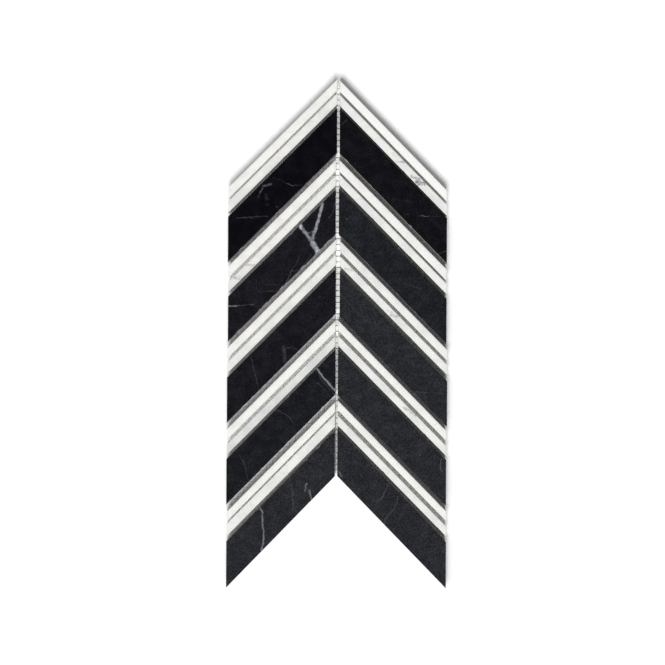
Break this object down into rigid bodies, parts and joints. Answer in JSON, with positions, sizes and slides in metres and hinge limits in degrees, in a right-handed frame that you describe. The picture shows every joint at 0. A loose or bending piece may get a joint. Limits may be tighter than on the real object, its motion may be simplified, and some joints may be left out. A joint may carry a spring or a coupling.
{
  "type": "marble mosaic tile",
  "caption": "Flat sheet of hand-laid chevron mosaic: wide honed black marble bars between pairs of narrow white marble strips, mitred down the middle, on a glass yarn net.",
  "frame": {"origin": "middle of the sheet's length and width, on the underside of the net that it lies on", "axes": "+Z out of the honed face, +Y towards the apex of the chevrons, +X to the right as seen from above"},
  "size_m": [0.174, 0.4022, 0.0105],
  "materials": {
    "black_marble": "honed",
    "white_marble": "honed",
    "glass_yarn": "resin-coated yarn"
  },
  "bodies": {
    "root": {"white_strip_upper_left_1": "white_marble", "white_strip_lower_left_1": "white_marble", "black_bar_left_1": "black_marble", "white_strip_upper_left_2": "white_marble", "white_strip_lower_left_2": "white_marble", "black_bar_left_2": "black_marble", "white_strip_upper_left_3": "white_marble", "white_strip_lower_left_3": "white_marble", "black_bar_left_3": "black_marble", "white_strip_upper_left_4": "white_marble", "white_strip_lower_left_4": "white_marble", "black_bar_left_4": "black_marble", "white_strip_upper_left_5": "white_marble", "white_strip_lower_left_5": "white_marble", "black_bar_left_5": "black_marble", "white_strip_upper_right_1": "white_marble", "white_strip_lower_right_1": "white_marble", "black_bar_right_1": "black_marble", "white_strip_upper_right_2": "white_marble", "white_strip_lower_right_2": "white_marble", "black_bar_right_2": "black_marble", "white_strip_upper_right_3": "white_marble", "white_strip_lower_right_3": "white_marble", "black_bar_right_3": "black_marble", "white_strip_upper_right_4": "white_marble", "white_strip_lower_right_4": "white_marble", "black_bar_right_4": "black_marble", "white_strip_upper_right_5": "white_marble", "white_strip_lower_right_5": "white_marble", "black_bar_right_5": "black_marble", "net_warp_yarns": "glass_yarn", "net_weft_yarns": "glass_yarn"}
  },
  "joints": []
}
